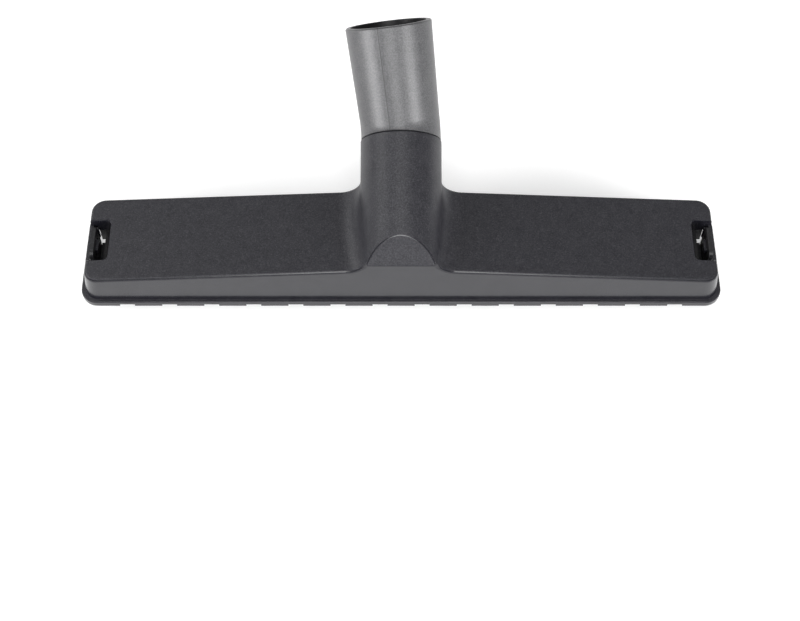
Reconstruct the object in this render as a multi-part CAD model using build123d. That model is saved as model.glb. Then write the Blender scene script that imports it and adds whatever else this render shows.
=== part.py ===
from build123d import *
import os
from math import cos, radians, sin, tan

# Driving dimensions, in millimetres and degrees. Heights are above the feet of the rim,
# Y = 0 is the middle of the head's depth, and +Y points back, towards the neck.
rim_length = 300.0
rim_depth = 50.6
rim_corner = 8.0
rim_thickness = 1.7
rim_ledge = 2.0
rim_round = 0.6
foot_height = 1.3
foot_pitch = 19.7
foot_gap = 7.0

wall = 2.0
end_wall = 1.5
wall_corner = 6.5
end_draft = 7.0
side_draft = 2.2
roof_ridge = 26.8
roof_slope = 3.6
edge_round = 1.5

neck_radius = 18.8
neck_tilt = 21.0
neck_reach = 38.1
neck_height = 42.8
neck_duct_radius = 15.4
neck_chamfer = 0.5
valley_round = 11.0
facet_height = 30.1
facet_lean = 57.0
facet_round = 0.9

spigot_radius = 16.7
spigot_length = 18.0
spigot_wall = 1.9
swivel_clearance = 0.05
swivel_gap = 0.3
bead_proud = 0.5
bead_width = 2.0
bead_inset = 5.0
bead_play = 0.15

elbow_tilt = 25.5
elbow_roll = 16.0
elbow_bend_radius = 24.0
elbow_tube_length = 43.5
elbow_seam_radius = 18.5
elbow_mouth_radius = 19.9
wand_radius = 17.6
wand_depth = 40.0
mouth_chamfer = 0.6

notch_reach = 10.0
notch_width = 21.8
notch_corner = 2.5
notch_chamfer = 0.5
well_wall = 1.4
hook_width = 6.0
hook_height = 5.0
hook_nose = 1.2
guide_rib_reach = 2.2
guide_rib_height = 7.0
guide_rib_thickness = 1.2
guide_rib_spacing = 18.6

lip_level = 1.0
rail_overrun = 3.1
rail_height = 8.3
rail_width = 7.5
rail_side_clearance = 0.8
rail_wall = 1.5
rail_chamfer = 2.2
rail_flange_reach = 1.9
rail_flange_thickness = 1.2
lip_length = 24.7
lip_overhang = 0.45
lip_thickness = 1.5
bay_count = 4
cross_rib = 2.0
cross_rib_height = 5.5
end_block_length = 8.2
end_block_height = 7.0
end_block_wall = 1.5

flange_length = 2.6
flange_thickness = 1.6
film_thickness = 0.4
tab_length = 15.8
tab_width = 16.1
tab_thickness = 1.8
tab_window = 7.0
tab_window_inset = 5.0
tab_corner = 2.0
tab_clearance = 0.3
tab_travel = 17.0
hook_clearance = 0.4

seat_rib_thickness = 1.6
seat_rib_overlap = 2.5
seat_rib_first = 48.0
seat_rib_pitch = 36.0
seat_rib_count = 3

backing_height = 5.0
backing_clearance = 0.1
bristle_length = 12.0
bristle_thickness = 3.4
bristle_end_margin = 2.5
bristle_notch_pitch = 45.0
bristle_notch_count = 6
bristle_notch_width = 6.2
bristle_notch_depth = 4.5

# Heights and places that follow from the sizes above.
rim_top = foot_height + rim_thickness
wall_half_length = rim_length / 2 - rim_ledge
wall_half_depth = rim_depth / 2 - rim_ledge
form_top = neck_height + 2 * neck_radius
end_taper = tan(radians(end_draft))
side_taper = tan(radians(side_draft))
roof_taper = tan(radians(roof_slope))
roof_eave = roof_ridge - roof_taper * (wall_half_length + end_taper * rim_top)
roof_eave /= 1 - roof_taper * end_taper
eave_half_length = wall_half_length - end_taper * (roof_eave - rim_top)

neck_axis = Vector(0, cos(radians(neck_tilt)), sin(radians(neck_tilt)))
seam_centre = Vector(0, neck_reach, neck_height)
neck_plane = Plane(origin=seam_centre, x_dir=(1, 0, 0), z_dir=neck_axis)
socket_radius = spigot_radius + swivel_clearance
facet_front = -(wall_half_depth - side_taper * (facet_height - rim_top))
facet_normal = Vector(0, -sin(radians(facet_lean)), cos(radians(facet_lean)))
facet_plane = Plane(origin=(0, facet_front, facet_height), x_dir=(1, 0, 0), z_dir=facet_normal)

tab_foot = lip_level + film_thickness + tab_clearance
hinge_height = tab_foot + tab_thickness / 2
window_top = tab_foot + tab_window_inset + tab_window
hook_top = window_top - hook_clearance
hook_root = wall_half_length - end_taper * (hook_top - rim_top) - end_wall
tab_outer = hook_root - tab_clearance
hinge_reach = tab_outer - tab_thickness / 2
hook_swing = sin(radians(tab_travel)) * (window_top - hinge_height)
hook_tip = hinge_reach - hook_swing + tab_thickness / 2 * cos(radians(tab_travel)) + tab_clearance
flange_end = hinge_reach - tab_thickness / 2 - tab_clearance
notch_inner = eave_half_length - notch_reach

tube_side = Vector(-sin(radians(elbow_roll)), 0, 0)
tube_side += Vector(0, -sin(radians(neck_tilt)), cos(radians(neck_tilt))) * cos(radians(elbow_roll))
tube_axis = neck_axis * cos(radians(elbow_tilt)) + tube_side * sin(radians(elbow_tilt))
elbow_foot = seam_centre + neck_axis * swivel_gap
bend_hub = elbow_foot + tube_side * elbow_bend_radius
bend_axis = Axis(bend_hub, neck_axis.cross(tube_side))
bend_arm = neck_axis * sin(radians(elbow_tilt)) - tube_side * cos(radians(elbow_tilt))
bend_end = bend_hub + bend_arm * elbow_bend_radius
tube_plane = Plane(origin=bend_end, x_dir=bend_axis.direction, z_dir=tube_axis)
bend_corner = elbow_foot + neck_axis * elbow_bend_radius * tan(radians(elbow_tilt / 2))
mitre_plane = Plane(origin=bend_corner, x_dir=bend_axis.direction, z_dir=neck_axis + tube_axis)

rail_top = lip_level + rail_height
rail_outer = wall_half_depth - wall - rail_side_clearance - rail_flange_reach
rail_inner = rail_outer - rail_width
rail_centre = (rail_outer + rail_inner) / 2
end_block_outer = flange_end - flange_length
rail_length = 2 * (end_block_outer + rail_overrun)
bay_half = end_block_outer - end_block_length
bay_pitch = 2 * bay_half / bay_count
channel_width = rail_width - 2 * rail_wall
channel_top = rail_top - rail_wall
channel_length = rail_length - 2 * bristle_end_margin
strip_length = channel_length - 2 * backing_clearance
backing_foot = channel_top - backing_height
tip_height = lip_level - bristle_length


def prism(length, width, low, high, centre=(0, 0)):
    """Upright box between two heights, centred in plan."""
    box = Box(length, width, high - low, align=(Align.CENTER, Align.CENTER, Align.MIN))
    return Pos(centre[0], centre[1], low) * box


def head_prism(inset_x, inset_y, low, high, corner):
    """Block with the drafted outline of the head's walls, set in by the given walls."""
    def drafted(half, taper, plane):
        low_half = half + taper * (rim_top - low)
        high_half = half - taper * (high - rim_top)
        foot = [(-low_half, low), (low_half, low)]
        profile = Polygon(*foot, (high_half, high), (-high_half, high), align=None)
        return extrude(plane * profile, rim_length, both=True)

    block = drafted(wall_half_length - inset_x, end_taper, Plane.XZ)
    block &= drafted(wall_half_depth - inset_y, side_taper, Plane.YZ)
    corners = [edge for edge in block.edges() if abs(edge.tangent_at(0.5).Z) > 0.5]
    return fillet(corners, corner)


def on_outline(point):
    """Whether a point lies on the drafted walls."""
    lift = point.Z - rim_top
    at_end = wall_half_length - end_taper * lift - abs(point.X) < wall_corner
    return at_end or wall_half_depth - side_taper * lift - abs(point.Y) < facet_round / 2


def roof_block(drop, depth):
    """Slab of the given depth under the two roof slopes, lowered by drop."""
    ridge = roof_ridge - drop
    half = rim_length / 2
    eave = ridge - half * roof_taper
    profile = Polygon((-half, 0), (half, 0), (half, eave), (0, ridge), (-half, eave), align=None)
    return extrude(Plane.XZ * profile, depth / 2, both=True)


def neck_tunnel():
    """Neck section with straight sides below its axis, swept along the neck."""
    section = Circle(neck_radius) + Pos(0, neck_radius) * Rectangle(2 * neck_radius, 2 * neck_radius)
    return extrude(neck_plane * section, rim_length / 2, both=True)


def bar(plane, radius, start, end):
    """Round bar on a plane's axis, between two distances from its origin."""
    round_bar = Cylinder(radius, end - start, align=(Align.CENTER, Align.CENTER, Align.MIN))
    return plane * Pos(0, 0, start) * round_bar


def behind_facet(depth):
    """Everything behind the facet's plane, sunk by depth."""
    reach = rim_length
    block = Box(reach, reach, reach, align=(Align.CENTER, Align.CENTER, Align.MAX))
    return facet_plane * Pos(0, 0, -depth) * block


def outer_form():
    """Roof, neck and valleys between the drafted walls, cut off by the facet."""
    slab = prism(rim_length, rim_depth, 0, form_top)
    form = roof_block(0, rim_depth) + (neck_tunnel() & slab)
    valleys = [
        edge for edge in form.edges()
        if abs(edge.center().X) > neck_radius / 2
        and abs(edge.center().Z - roof_ridge) < neck_radius / 4
        and abs(edge.tangent_at(0.5).Y) > 0.5
    ]
    form = fillet(valleys, valley_round)
    form = form & head_prism(0, 0, foot_height, form_top, wall_corner)
    brow = [edge for edge in form.edges() if edge.bounding_box().min.Z > (rim_top + roof_eave) / 2]
    brow = [edge for edge in brow if on_outline(edge.center())]
    form = fillet(brow, edge_round)
    form &= behind_facet(0)
    arch = [edge for edge in form.edges() if edge.geom_type == GeomType.ELLIPSE and edge.center().Y < 0]
    return fillet(arch, facet_round)


def rim():
    """Flange round the walls, on feet with gaps that let air in."""
    flange = extrude(RectangleRounded(rim_length, rim_depth, rim_corner), rim_top)
    flange = fillet(flange.faces().sort_by(Axis.Z)[-1].edges(), rim_round)
    gap_count = int((rim_length - 2 * rim_corner) / foot_pitch)
    for index in range(gap_count):
        place = (index - (gap_count - 1) / 2) * foot_pitch
        flange -= prism(foot_gap, 2 * rim_depth, 0, foot_height, (place, 0))
    for place in (-foot_pitch / 2, foot_pitch / 2):
        flange -= prism(2 * rim_length, foot_gap, 0, foot_height, (0, place))
    return flange


def air_space():
    """Hollow under the roof, with the duct up to the neck and the socket for the elbow."""
    walls = head_prism(end_wall, wall, -rim_top, form_top, wall_corner - wall)
    hollow = roof_block(wall, rim_depth) & walls
    hollow += prism(rim_length, rim_depth, -rim_top, rim_top) & walls
    hollow += bar(neck_plane, neck_duct_radius, -2 * neck_reach, -neck_reach) & walls & behind_facet(wall)
    hollow += bar(neck_plane, neck_duct_radius, -neck_reach, 0)
    hollow += bar(neck_plane, socket_radius, -spigot_length - swivel_gap, 0)
    return hollow + bar(neck_plane, socket_radius + bead_proud, -bead_inset - bead_width, -bead_inset)


def notch_cut(side):
    """Finger notch down to the hook's top, with a chamfered brim along the roof slope."""
    notch = RectangleRounded(2 * notch_reach, notch_width, notch_corner)
    notch = Pos(side * (notch_inner + notch_reach), 0, hook_top) * extrude(notch, form_top)
    flare = 2 * notch_chamfer
    brim = RectangleRounded(2 * (notch_reach + flare), notch_width + 2 * flare, notch_corner + flare)
    roof_plane = Plane(
        origin=(side * notch_inner, 0, roof_ridge - roof_taper * notch_inner),
        x_dir=(cos(radians(roof_slope)), 0, -side * sin(radians(roof_slope))),
        z_dir=(side * sin(radians(roof_slope)), 0, cos(radians(roof_slope))),
    )
    brim = roof_plane * Pos(side * notch_reach, 0, notch_chamfer) * brim
    return notch + extrude(brim, -1.5 * flare, taper=45)


def latch_hook(side):
    """Hook on an end wall, flat on top and sloped below, so that a rising tab slides over it."""
    root = hook_root + end_wall / 2
    profile = Polygon(
        (side * root, hook_top),
        (side * hook_tip, hook_top),
        (side * hook_tip, hook_top - hook_nose),
        (side * root, hook_top - hook_height),
        align=None,
    )
    return extrude(Plane.XZ * profile, hook_width / 2, both=True)


def inner_ribs(form):
    """Walls beside the end notches, guides beside the hooks and stops above the rails."""
    well_length = wall_half_length - notch_inner
    well_x = notch_inner + well_length / 2
    well_y = (notch_width + well_wall) / 2
    well_foot = rail_top + tab_clearance
    guide_length = guide_rib_reach + end_wall
    guide_x = hook_root - guide_rib_reach + guide_length / 2
    guide_y = guide_rib_spacing / 2
    guide_foot = hook_top - guide_rib_height
    seat_depth = wall_half_depth - rail_outer + seat_rib_overlap
    seat_y = wall_half_depth - seat_depth / 2
    ribs = []
    for side in (-1, 1):
        for row in (-1, 1):
            well_place = (side * well_x, row * well_y)
            ribs.append(prism(well_length, well_wall, well_foot, form_top, well_place))
            guide_place = (side * guide_x, row * guide_y)
            ribs.append(prism(guide_length, guide_rib_thickness, guide_foot, hook_top, guide_place))
            for index in range(seat_rib_count):
                seat_place = (side * (seat_rib_first + index * seat_rib_pitch), row * seat_y)
                ribs.append(prism(seat_rib_thickness, seat_depth, rail_top, form_top, seat_place))
    return [rib & form for rib in ribs]


def housing():
    """The head's one moulding."""
    form = outer_form()
    neck = bar(neck_plane, neck_radius, -neck_reach, 0)
    neck_edges = neck.edges().filter_by(GeomType.CIRCLE).sort_by(Axis(seam_centre, neck_axis))
    neck = chamfer(neck_edges[-1], neck_chamfer)
    shell = form + neck + rim()
    shell -= air_space()
    shell += inner_ribs(form)
    for side in (-1, 1):
        shell -= notch_cut(side)
        shell += latch_hook(side)
    return shell


def elbow_bend(radius):
    """Round bar along the elbow's bend."""
    return revolve(neck_plane * Pos(0, 0, swivel_gap) * Circle(radius), bend_axis, elbow_tilt)


def elbow_duct():
    """Air passage left by two core pins, one in the spigot and one in the tube, mitred in the bend."""
    radius = spigot_radius - spigot_wall
    spigot_pin = bar(neck_plane, radius, -2 * spigot_length, 2 * spigot_length)
    tube_pin = bar(tube_plane, radius, -2 * spigot_length, elbow_tube_length)
    return split(spigot_pin, mitre_plane, Keep.BOTTOM) + split(tube_pin, mitre_plane, Keep.TOP)


def swivel_elbow():
    """Spigot that turns in the neck, short bend and tapered tube with the wand's socket."""
    upright = (Align.CENTER, Align.CENTER, Align.MIN)
    tube = tube_plane * Cone(elbow_seam_radius, elbow_mouth_radius, elbow_tube_length, align=upright)
    mouth = tube.edges().filter_by(GeomType.CIRCLE).sort_by(Axis(bend_end, tube_axis))[-1]
    body = elbow_bend(elbow_seam_radius) + chamfer(mouth, mouth_chamfer)
    body += bar(neck_plane, spigot_radius, -spigot_length, swivel_gap + spigot_wall)
    bead_start = -bead_inset - bead_width + bead_play
    body += bar(neck_plane, spigot_radius + bead_proud, bead_start, -bead_inset - bead_play)
    body -= elbow_duct()
    return body - bar(tube_plane, wand_radius, elbow_tube_length - wand_depth, 2 * elbow_tube_length)


def rail(row):
    """One channel that opens downwards, with lips that hold the bristle strip."""
    centre = row * rail_centre
    block = prism(rail_length, rail_width, lip_level, rail_top, (0, centre))
    outer_corners = [
        edge for edge in block.edges().filter_by(Axis.Z) if abs(edge.center().Y) > rail_centre
    ]
    block = chamfer(outer_corners, rail_chamfer)
    flange_place = (0, row * (rail_outer + rail_flange_reach / 2))
    flange_top = lip_level + rail_flange_thickness
    block += prism(rail_length - 2 * rail_chamfer, rail_flange_reach, lip_level, flange_top, flange_place)
    block -= prism(channel_length, channel_width, lip_level, channel_top, (0, centre))
    for index in range(bay_count - 1):
        place = (index - (bay_count - 2) / 2) * bay_pitch
        for side in (-1, 1):
            lip_place = (place, centre + side * (channel_width - lip_overhang) / 2)
            block += prism(lip_length, lip_overhang, lip_level, lip_level + lip_thickness, lip_place)
    return block


def insert_frame():
    """Clip-in frame: two rails, cross ribs between the suction bays, and an end block each side."""
    frame = rail(-1) + rail(1)
    inner_width = 2 * rail_inner
    for index in range(bay_count - 1):
        place = (index - (bay_count - 2) / 2) * bay_pitch
        frame += prism(cross_rib, inner_width, lip_level, lip_level + cross_rib_height, (place, 0))
    for side in (-1, 1):
        block_place = (side * (bay_half + end_block_length / 2), 0)
        block = prism(end_block_length, inner_width, lip_level, lip_level + end_block_height, block_place)
        pocket_length = end_block_length - 2 * end_block_wall
        pocket_floor = lip_level + end_block_wall
        frame += block - prism(pocket_length, inner_width, pocket_floor, rail_top, block_place)
        flange_place = (side * (end_block_outer + flange_length / 2), 0)
        frame += prism(flange_length, tab_width, lip_level, lip_level + flange_thickness, flange_place)
        film_length = tab_outer - flange_end
        film_place = (side * (flange_end + film_length / 2), 0)
        frame += prism(film_length, tab_width, lip_level, lip_level + film_thickness, film_place)
    return frame


def latch_tab(side):
    """Tongue on the film hinge, with the window that the hook holds."""
    top = tab_foot + tab_length
    centre = (side * hinge_reach, 0)
    tab = prism(tab_thickness, tab_width, hinge_height, top, centre)
    corners = [edge for edge in tab.edges().filter_by(Axis.X) if edge.center().Z > hinge_height]
    tab = fillet(corners, tab_corner)
    knuckle = Rot(90, 0, 0) * Cylinder(tab_thickness / 2, tab_width)
    tab += Pos(side * hinge_reach, 0, hinge_height) * knuckle
    return tab - prism(2 * tab_thickness, tab_window, window_top - tab_window, window_top, centre)


def strip_backing(row):
    """Strip in the channel that the bristles are set in."""
    width = channel_width - 2 * backing_clearance
    return prism(strip_length, width, backing_foot, channel_top, (0, row * rail_centre))


def bristles(row):
    """Bristle row with shorter bristles in its notches."""
    brush = prism(strip_length, bristle_thickness, tip_height, backing_foot, (0, row * rail_centre))
    for index in range(bristle_notch_count):
        place = ((index - (bristle_notch_count - 1) / 2) * bristle_notch_pitch, row * rail_centre)
        brush -= prism(bristle_notch_width, rail_width, tip_height, tip_height + bristle_notch_depth, place)
    return brush


pieces = {
    "housing": housing(),
    "swivel_elbow": swivel_elbow(),
    "insert_frame": insert_frame(),
    "left_latch_tab": latch_tab(-1),
    "right_latch_tab": latch_tab(1),
    "front_strip_backing": strip_backing(-1),
    "rear_strip_backing": strip_backing(1),
    "front_bristles": bristles(-1),
    "rear_bristles": bristles(1),
}

# The part stands on its bristle tips, with the origin under the middle of its whole box.
box = Compound(list(pieces.values())).bounding_box()
place = Pos(-(box.min.X + box.max.X) / 2, -(box.min.Y + box.max.Y) / 2, -box.min.Z)

os.makedirs("parts", exist_ok=True)
for name, piece in pieces.items():
    export_step(place * piece, f"parts/{name}.step")
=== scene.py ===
"""Looks of a vacuum floor brush head: textured black mouldings, filament bristle rows, studio stage."""
import math
import random

import bpy
from mathutils import Matrix, Vector


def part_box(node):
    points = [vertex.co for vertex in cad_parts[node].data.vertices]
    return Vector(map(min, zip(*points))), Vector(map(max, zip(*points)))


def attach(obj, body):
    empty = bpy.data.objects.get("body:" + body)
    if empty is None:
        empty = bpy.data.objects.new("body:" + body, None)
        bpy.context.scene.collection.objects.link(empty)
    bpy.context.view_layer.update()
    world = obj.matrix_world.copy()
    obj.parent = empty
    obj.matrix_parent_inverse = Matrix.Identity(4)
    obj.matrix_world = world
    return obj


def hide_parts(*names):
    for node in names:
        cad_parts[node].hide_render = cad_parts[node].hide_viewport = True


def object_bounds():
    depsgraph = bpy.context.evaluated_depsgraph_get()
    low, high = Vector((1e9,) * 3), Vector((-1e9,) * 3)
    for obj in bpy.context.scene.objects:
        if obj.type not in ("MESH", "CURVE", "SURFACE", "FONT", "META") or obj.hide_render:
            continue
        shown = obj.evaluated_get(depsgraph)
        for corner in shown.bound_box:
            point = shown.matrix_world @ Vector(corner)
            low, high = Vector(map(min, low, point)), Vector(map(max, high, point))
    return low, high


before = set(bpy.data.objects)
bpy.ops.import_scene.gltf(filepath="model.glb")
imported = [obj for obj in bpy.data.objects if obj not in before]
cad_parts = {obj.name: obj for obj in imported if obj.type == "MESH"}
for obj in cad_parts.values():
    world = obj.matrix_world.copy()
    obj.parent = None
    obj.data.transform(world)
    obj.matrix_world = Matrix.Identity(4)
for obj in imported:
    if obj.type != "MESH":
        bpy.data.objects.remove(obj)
cad_low, cad_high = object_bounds()

# All lengths are in metres. The head is long in x, its elbow points back in y.
LENGTHWAYS = (1, 0, 0)
BACKWARDS = (0, 1, 0)
UPWARDS = (0, 0, 1)
BLACK = (0, 0, 0, 1)
WHITE = (1, 1, 1, 1)

# Camera, measured from the middle of the rim at the height of its feet.
IMAGE_WIDTH = 800
FOCAL_PIXELS = 1432.0
SENSOR_WIDTH = 36.0
CAMERA_BACK = 0.3626
CAMERA_RISE = 0.5798
CAMERA_SIDE = -0.0005
CAMERA_PITCH = math.radians(60.0)
RIM_DEPTH = 0.0506

# Lamps: name, place, width and height, power in watts.
LAMPS = (
    ("left_softbox", (-1.10, -0.66, 0.36), (0.6, 0.7), 16.0),
    ("left_fill", (-1.00, 0.25, 0.85), (0.8, 0.8), 5.0),
    ("right_softbox", (1.02, -0.82, 0.38), (0.6, 0.7), 21.0),
    ("front_softbox", (0.0, -1.16, 1.14), (0.75, 1.05), 16.0),
    ("top_softbox", (0.0, -0.35, 1.40), (0.9, 0.5), 2.5),
)

# A lamp under this height would glare in the roof from behind, so only the elbow mirrors it.
LOW_LAMP = 0.5
SHEEN_NEARER = 0.97
SHEEN_SHARE = 0.8

# Studio air: how bright it is to the camera, in reflections, and as light.
AIR_SEEN = 1.0
AIR_MIRRORED = 0.45
AIR_LIGHT = 0.15

# Floor paper: its tone, the glow that keeps it white, and the stretch under the head that has no glow.
FLOOR_SIZE = 6.0
FLOOR_GAP = 0.0002
PAPER_GRAIN = 90.0
PAPER_TONE = (0.78, 0.82)
GLOW_REACH = (0.4, 2.0)
GLOW_LEVEL = (0.45, 0.85)
COVERED_HALF_LENGTH = (0.147, 0.156)
COVERED_HALF_DEPTH = (0.015, 0.030)
COVERED_FORWARD = 0.033

# Bristle rows.
FILAMENT_RADIUS = 0.00016
FILAMENT_SIDES = 4
FILAMENT_LEAN = math.radians(3.0)
STRAY_LEAN = math.radians(11.0)
STRAY_SHARE = 0.04
TIP_SPREAD = 0.0006
TIP_TAPER = 0.6
TUFT_FILAMENTS = 95
TUFT_LENGTH = 0.003
FULL_TUFT_KINDS = 6
SHORT_TUFT_KINDS = 3
ROW_MARGIN = 2 * FILAMENT_RADIUS
NOTCH_PITCH = 0.045
NOTCH_COUNT = 6
NOTCH_WIDTH = 0.0062
NOTCH_DEPTH = 0.0045
SMOOTH_ANGLE = math.radians(80.0)
FRONT_ROW_SEED = 11
REAR_ROW_SEED = 12

# Colours, and the roughness of each finish from its smooth to its dull spots.
SHELL_DARK = (0.006, 0.006, 0.009, 1.0)
SHELL_LIGHT = (0.027, 0.0265, 0.031, 1.0)
SHELL_ROUGH = (0.38, 0.50)
ELBOW_DARK = (0.038, 0.038, 0.041, 1.0)
ELBOW_LIGHT = (0.084, 0.084, 0.087, 1.0)
ELBOW_ROUGH = (0.34, 0.43)
INSERT_DARK = (0.008, 0.008, 0.009, 1.0)
INSERT_LIGHT = (0.012, 0.012, 0.013, 1.0)
INSERT_ROUGH = (0.30, 0.40)
FILAMENT_DARK = (0.010, 0.010, 0.011, 1.0)
FILAMENT_LIGHT = (0.030, 0.030, 0.032, 1.0)
FILAMENT_ROUGH = (0.38, 0.55)
POLISH_ROUGH = 0.22
PLASTIC_IOR = 1.5
NYLON_IOR = 1.53

# Mould texture: grains to the metre, and each pattern's share in the colour.
CLOUD_GRAIN = 220.0
CLOUD_SHARE = 0.2
SPARK_GRAIN = 1700.0
SPARK_SHARE = 0.8
SPARK_DEPTH = 0.00005
SPARK_STRENGTH = 0.5
FLECK_GRAIN = 1500.0
FLECK_SHARE = 0.25
FLECK = (0.12, 0.12, 0.13, 1.0)
STREAK_GRAIN = 1400.0

# The housing's polished faces: how far a face turns to the front, back or end, and where the facet is.
WALL_TURN = (0.37, 0.50)
END_TURN = (0.3, 0.6)
PAST_NOTCH = (0.136, 0.138)
FACET_LEAN = math.radians(57.0)
FACET_NORMAL = (0.0, -math.sin(FACET_LEAN), math.cos(FACET_LEAN))
FACET_MATCH = (0.990, 0.998)
FACET_FOOT = (0.0411, 0.0417)

# The elbow's parting line, in the plane of its bend, and its bore, whose inner faces get painted shade.
SEAM_WIDTH = 0.0006
SEAM_PROUD = 0.00008
SEAM_SHARE = 0.8
SEAM_SHADE = (0.010, 0.010, 0.011, 1.0)
UPPER_TURN = (0.2, 0.4)
BORE_FADE = 0.002
# Painted shade: the near-black colour laid on the elbow's inner faces.
BORE_PAINTED_SHADE = (0.008, 0.008, 0.009, 1.0)
NECK_TILT = math.radians(21.0)
ELBOW_ROLL = math.radians(16.0)
NECK_AXIS = Vector((0.0, math.cos(NECK_TILT), math.sin(NECK_TILT)))
NECK_UP = Vector((0.0, -math.sin(NECK_TILT), math.cos(NECK_TILT)))
BEND_SIDE = NECK_UP * math.cos(ELBOW_ROLL) - Vector((math.sin(ELBOW_ROLL), 0.0, 0.0))
BEND_NORMAL = NECK_AXIS.cross(BEND_SIDE)
ELBOW_MOUTH = Vector((-0.00581, 0.04442, 0.09059))


class Wire:
    """A shader socket that Python's operators work on."""

    def __init__(self, paint, socket):
        self.paint = paint
        self.socket = socket

    def math(self, operation, first, second):
        return self.paint.node("ShaderNodeMath", {"operation": operation}, {0: first, 1: second})

    def __add__(self, other):
        return self.math("ADD", self, other)

    def __radd__(self, other):
        return self.math("ADD", other, self)

    def __sub__(self, other):
        return self.math("SUBTRACT", self, other)

    def __rsub__(self, other):
        return self.math("SUBTRACT", other, self)

    def __mul__(self, other):
        return self.math("MULTIPLY", self, other)

    def __rmul__(self, other):
        return self.math("MULTIPLY", other, self)

    def size(self):
        return self.math("ABSOLUTE", self, 0.0)

    def above(self, other):
        """The larger of two values."""
        return self.math("MAXIMUM", self, other)

    def ramp(self, low, high, out_low=0.0, out_high=1.0):
        """The value spread from one range to another, held at the ends."""
        spread = {"Value": self, "From Min": low, "From Max": high, "To Min": out_low, "To Max": out_high}
        return self.paint.node("ShaderNodeMapRange", {"clamp": True}, spread)

    def fade(self, low, high):
        """1 up to the low value, falling to 0 at the high one."""
        return self.ramp(low, high, 1.0, 0.0)


class Paint:
    """A material, or the world, and its shader nodes."""

    def __init__(self, name, tree=None):
        self.material = None if tree else bpy.data.materials.new(name)
        if self.material:
            self.material.use_nodes = True
        self.tree = tree or self.material.node_tree
        self.tree.nodes.clear()

    def node(self, kind, settings=None, inputs=None, output=0):
        made = self.tree.nodes.new(kind)
        for name, value in (settings or {}).items():
            setattr(made, name, value)
        for name, value in (inputs or {}).items():
            if isinstance(value, Wire):
                self.tree.links.new(value.socket, made.inputs[name])
            else:
                made.inputs[name].default_value = value
        return Wire(self, made.outputs[output])

    def place(self):
        return self.node("ShaderNodeTexCoord", output="Object")

    def facing(self):
        return self.node("ShaderNodeTexCoord", output="Normal")

    def ray(self, kind):
        """1 for rays of this kind and 0 for others."""
        return self.node("ShaderNodeLightPath", output=kind)

    def vector_math(self, operation, first, second, output=0):
        return self.node("ShaderNodeVectorMath", {"operation": operation}, {0: first, 1: second}, output)

    def along(self, vector, way):
        """How far a vector wire reaches in a direction."""
        return self.vector_math("DOT_PRODUCT", vector, way, "Value")

    def grain(self, scale, detail=1.0, roughness=0.5):
        """Noise with about this many grains to the metre."""
        spread = {"Vector": self.place(), "Scale": scale, "Detail": detail, "Roughness": roughness}
        return self.node("ShaderNodeTexNoise", {"noise_dimensions": "3D"}, spread)

    def blend(self, mask, dark, light):
        """Colour between two colours or colour wires."""
        return self.node("ShaderNodeMix", {"data_type": "RGBA"}, {0: mask, 6: dark, 7: light}, output=2)

    def finish(self, shader, target="ShaderNodeOutputMaterial"):
        surface = self.tree.nodes.new(target).inputs["Surface"]
        self.tree.links.new(shader.socket, surface)
        return self.material


def moulded_plastic(name, dark, light, roughness, polish=None, seam=None, bore=None):
    """Black plastic from a spark-eroded mould, smooth where the mould is polished, with painted shade
    inside a bore if one is given.
    """
    paint = Paint(name)
    pitted = 1 - polish(paint) if polish else 1.0
    cloud = paint.grain(CLOUD_GRAIN, 3.0).ramp(0.35, 0.65)
    spark = paint.grain(SPARK_GRAIN, 2.0, 0.6)
    fleck = paint.grain(FLECK_GRAIN).ramp(0.55, 0.80)
    pits = spark.ramp(0.40, 0.62) * pitted
    colour = paint.blend(cloud * CLOUD_SHARE + pits * SPARK_SHARE, dark, light)
    colour = paint.blend(fleck * pitted * FLECK_SHARE, colour, FLECK)
    above_polish = [value - POLISH_ROUGH for value in roughness]
    rough = spark.ramp(0.3, 0.7, *above_polish) * pitted + POLISH_ROUGH
    relief = spark * pitted
    # Painted shade: the bore's inner faces are darkened to a near-black colour.
    if bore:
        colour = paint.blend(bore(paint), colour, BORE_PAINTED_SHADE)
    if seam:
        line = seam(paint)
        colour = paint.blend(line * SEAM_SHARE, colour, SEAM_SHADE)
        relief = relief + line * (SEAM_PROUD / SPARK_DEPTH)
    bump = paint.node("ShaderNodeBump", None,
                      {"Strength": SPARK_STRENGTH, "Distance": SPARK_DEPTH, "Height": relief})
    shader = paint.node("ShaderNodeBsdfPrincipled", None,
                        {"Base Color": colour, "Roughness": rough, "Normal": bump, "IOR": PLASTIC_IOR})
    return paint.finish(shader)


def shell_polish(paint):
    """Mask of the housing's polished faces: walls, brow and arch edge, but not roof, neck or facet."""
    facing, place = paint.facing(), paint.place()
    front_or_back = paint.along(facing, BACKWARDS).size().ramp(*WALL_TURN)
    above_wall = paint.along(place, UPWARDS).ramp(*FACET_FOOT)
    facet = paint.along(facing, FACET_NORMAL).ramp(*FACET_MATCH) * above_wall
    past_notch = paint.along(place, LENGTHWAYS).size().ramp(*PAST_NOTCH)
    end = paint.along(facing, LENGTHWAYS).size().ramp(*END_TURN) * past_notch
    return (front_or_back * (1 - facet)).above(end)


def elbow_seam(paint):
    """Mask of the parting line along the elbow's upper side, in the plane of its bend."""
    across = paint.along(paint.place(), BEND_NORMAL) - BEND_NORMAL.dot(ELBOW_MOUTH)
    upper = paint.along(paint.facing(), BEND_SIDE).ramp(*UPPER_TURN)
    return across.size().fade(SEAM_WIDTH / 4, SEAM_WIDTH / 2) * upper * (1 - elbow_bore(paint))


def elbow_bore(paint):
    """Mask of the elbow's inner faces, which look towards its axis: where the bore's painted shade goes.
    """
    from_mouth = paint.vector_math("SUBTRACT", paint.place(), ELBOW_MOUTH)
    return paint.along(from_mouth, paint.facing()).fade(-BORE_FADE, BORE_FADE)


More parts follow.
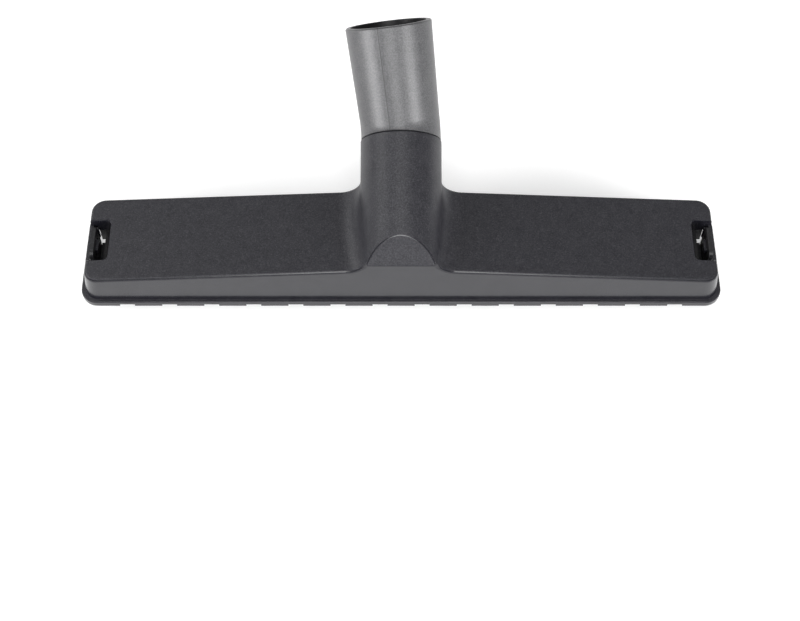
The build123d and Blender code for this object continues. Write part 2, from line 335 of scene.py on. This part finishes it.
def bristle_filament():
    """Black nylon filament, unevenly dark, with a dull shine."""
    paint = Paint("bristle_filament")
    streak = paint.grain(STREAK_GRAIN, 2.0).ramp(0.3, 0.7)
    colour = paint.blend(streak, FILAMENT_DARK, FILAMENT_LIGHT)
    rough = streak.ramp(0.0, 1.0, *FILAMENT_ROUGH)
    shader = paint.node("ShaderNodeBsdfPrincipled", None,
                        {"Base Color": colour, "Roughness": rough, "IOR": NYLON_IOR})
    return paint.finish(shader)


def use_material(piece, material):
    piece.data.materials.clear()
    piece.data.materials.append(material)


def deselect_all():
    if bpy.context.object and bpy.context.object.mode != "OBJECT":
        bpy.ops.object.mode_set(mode="OBJECT")
    bpy.ops.object.select_all(action="DESELECT")


def filament(length):
    """One bristle hanging from the origin, narrowed at its tip."""
    deselect_all()
    bpy.ops.mesh.primitive_cylinder_add(vertices=FILAMENT_SIDES, radius=FILAMENT_RADIUS, depth=length,
                                        end_fill_type="NGON", location=(0, 0, -length / 2))
    made = bpy.context.object
    bpy.ops.object.transform_apply(location=True)
    for vertex in made.data.vertices:
        vertex.select = vertex.co.z < -length / 2
    bpy.ops.object.mode_set(mode="EDIT")
    bpy.ops.transform.resize(value=(TIP_TAPER, TIP_TAPER, 1.0), center_override=(0, 0, -length))
    bpy.ops.object.mode_set(mode="OBJECT")
    return made


def join(pieces, name):
    deselect_all()
    for piece in pieces:
        piece.select_set(True)
    bpy.context.view_layer.objects.active = pieces[0]
    bpy.ops.object.join()
    joined = bpy.context.object
    joined.name = name
    return joined


def copy_of(piece, place):
    """A copy with its own mesh, which a matrix moves to its place."""
    twin = piece.copy()
    twin.data = piece.data.copy()
    twin.data.transform(place)
    bpy.context.scene.collection.objects.link(twin)
    return twin


def tuft(draw, length, thickness):
    """A short stretch of a bristle row, with every filament at its own place and lean."""
    pattern = filament(length)
    hairs = []
    for _ in range(TUFT_FILAMENTS):
        lean = STRAY_LEAN if draw.random() < STRAY_SHARE else FILAMENT_LEAN
        forward = Matrix.Rotation(draw.uniform(-lean, lean), 4, "X")
        sideways = Matrix.Rotation(draw.uniform(-lean, lean), 4, "Y")
        stretch = Matrix.Scale(1 - draw.uniform(0, TIP_SPREAD) / length, 4, Vector(UPWARDS))
        x = draw.uniform(-TUFT_LENGTH, TUFT_LENGTH) / 2
        y = draw.uniform(-thickness, thickness) / 2
        hairs.append(copy_of(pattern, Matrix.Translation((x, y, 0)) @ forward @ sideways @ stretch))
    bpy.data.objects.remove(pattern)
    return join(hairs, "tuft")


def bristle_row(node, material, seed):
    """A whole bristle row in the place of its CAD block, short in the notches."""
    draw = random.Random(seed)
    low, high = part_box(node)
    length = high.z - low.z
    thickness = (high.y - low.y) - 2 * ROW_MARGIN
    full = [tuft(draw, length, thickness) for _ in range(FULL_TUFT_KINDS)]
    short = [tuft(draw, length - NOTCH_DEPTH, thickness) for _ in range(SHORT_TUFT_KINDS)]
    count = round((high.x - low.x) / TUFT_LENGTH)
    pitch = (high.x - low.x - TUFT_LENGTH) / (count - 1)
    notches = [(index - (NOTCH_COUNT - 1) / 2) * NOTCH_PITCH for index in range(NOTCH_COUNT)]
    tufts = []
    for index in range(count):
        x = low.x + TUFT_LENGTH / 2 + index * pitch
        in_notch = any(abs(x - notch) < NOTCH_WIDTH / 2 for notch in notches)
        pattern = draw.choice(short if in_notch else full)
        turn = Matrix.Rotation(draw.choice((0, math.pi)), 4, "Z")
        place = Matrix.Translation((x, (low.y + high.y) / 2, high.z)) @ turn
        tufts.append(copy_of(pattern, place))
    for pattern in full + short:
        bpy.data.objects.remove(pattern)
    row = join(tufts, node + "_filaments")
    use_material(row, material)
    bpy.ops.object.shade_smooth_by_angle(angle=SMOOTH_ANGLE)
    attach(row, "head")
    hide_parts(node)


def floor_paper():
    """Pale paper that stays white in the picture and keeps a soft shadow."""
    paint = Paint("floor_paper")
    seen = paint.ray("Is Camera Ray") + paint.ray("Is Glossy Ray") + paint.ray("Is Transmission Ray")
    tooth = paint.grain(PAPER_GRAIN, 3.0).ramp(0.0, 1.0, *PAPER_TONE)
    paper = paint.node("ShaderNodeBsdfDiffuse", None, {"Color": paint.blend(tooth, BLACK, WHITE)})
    place = paint.place()
    in_length = paint.along(place, LENGTHWAYS).size().fade(*COVERED_HALF_LENGTH)
    in_depth = (paint.along(place, BACKWARDS) + COVERED_FORWARD).size().fade(*COVERED_HALF_DEPTH)
    far = paint.vector_math("DISTANCE", place, (0, 0, 0), "Value").ramp(*GLOW_REACH, *GLOW_LEVEL)
    strength = seen * (1 - in_length * in_depth) * far
    glow = paint.node("ShaderNodeEmission", None, {"Color": WHITE, "Strength": strength})
    return paint.finish(paint.node("ShaderNodeAddShader", None, {0: paper, 1: glow}))


def lay_floor():
    deselect_all()
    bpy.ops.mesh.primitive_plane_add(size=FLOOR_SIZE, location=(0, 0, cad_low.z - FLOOR_GAP))
    floor = bpy.context.object
    floor.name = "floor"
    use_material(floor, floor_paper())


def studio_air():
    """White to the camera, dimmer in reflections, and a faint light all round."""
    world = bpy.data.worlds.new("studio_air")
    bpy.context.scene.world = world
    world.use_nodes = True
    air = Paint("studio_air", world.node_tree)
    mirrored = air.ray("Is Glossy Ray") + air.ray("Is Transmission Ray")
    unseen = mirrored.ramp(0, 1, AIR_LIGHT, AIR_MIRRORED)
    level = air.ray("Is Camera Ray").ramp(0, 1, unseen, AIR_SEEN)
    glow = air.node("ShaderNodeBackground", None, {"Color": WHITE, "Strength": level})
    air.finish(glow, "ShaderNodeOutputWorld")


def soft_lamp(name, spot, size, power):
    """A soft lamp that looks at the middle of the head."""
    light = bpy.data.lights.new(name, "AREA")
    light.shape = "RECTANGLE"
    light.size, light.size_y = size
    light.energy = power
    holder = bpy.data.objects.new(name, light)
    holder.location = spot
    middle = (cad_low + cad_high) / 2
    holder.rotation_euler = (middle - Vector(spot)).to_track_quat("-Z", "Y").to_euler()
    holder.visible_camera = False
    bpy.context.scene.collection.objects.link(holder)
    return holder


def hang_lamps():
    """The lamps, each low one with a twin just in front of it for the elbow's sheen."""
    elbow_alone = bpy.data.collections.new("elbow_alone")
    elbow_alone.objects.link(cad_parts["swivel_elbow"])
    for name, spot, size, power in LAMPS:
        softbox = soft_lamp(name, spot, size, power)
        if spot[2] < LOW_LAMP:
            softbox.visible_glossy = False
            nearer = [part * SHEEN_NEARER for part in spot]
            sheen = soft_lamp(name + "_sheen", nearer, size, power * SHEEN_SHARE)
            sheen.visible_diffuse = False
            sheen.light_linking.receiver_collection = elbow_alone


def photo_camera():
    """The photograph's view: looking down on the head from the front."""
    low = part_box("housing")[0]
    lens = bpy.data.cameras.new("photo_camera")
    lens.sensor_width = SENSOR_WIDTH
    lens.lens = SENSOR_WIDTH * FOCAL_PIXELS / IMAGE_WIDTH
    holder = bpy.data.objects.new("photo_camera", lens)
    holder.location = (CAMERA_SIDE, low.y + RIM_DEPTH / 2 - CAMERA_BACK, low.z + CAMERA_RISE)
    holder.rotation_euler = (math.pi / 2 - CAMERA_PITCH, 0, 0)
    bpy.context.scene.collection.objects.link(holder)
    bpy.context.scene.camera = holder


shell_black = moulded_plastic("shell_black", SHELL_DARK, SHELL_LIGHT, SHELL_ROUGH, polish=shell_polish)
elbow_black = moulded_plastic("elbow_black", ELBOW_DARK, ELBOW_LIGHT, ELBOW_ROUGH,
                              seam=elbow_seam, bore=elbow_bore)
insert_black = moulded_plastic("insert_black", INSERT_DARK, INSERT_LIGHT, INSERT_ROUGH)
filament_black = bristle_filament()

use_material(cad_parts["housing"], shell_black)
use_material(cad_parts["swivel_elbow"], elbow_black)
for name in ("insert_frame", "left_latch_tab", "right_latch_tab",
             "front_strip_backing", "rear_strip_backing"):
    use_material(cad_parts[name], insert_black)

bristle_row("front_bristles", filament_black, FRONT_ROW_SEED)
bristle_row("rear_bristles", filament_black, REAR_ROW_SEED)

lay_floor()
studio_air()
hang_lamps()
photo_camera()
bpy.context.scene.view_settings.view_transform = "Standard"
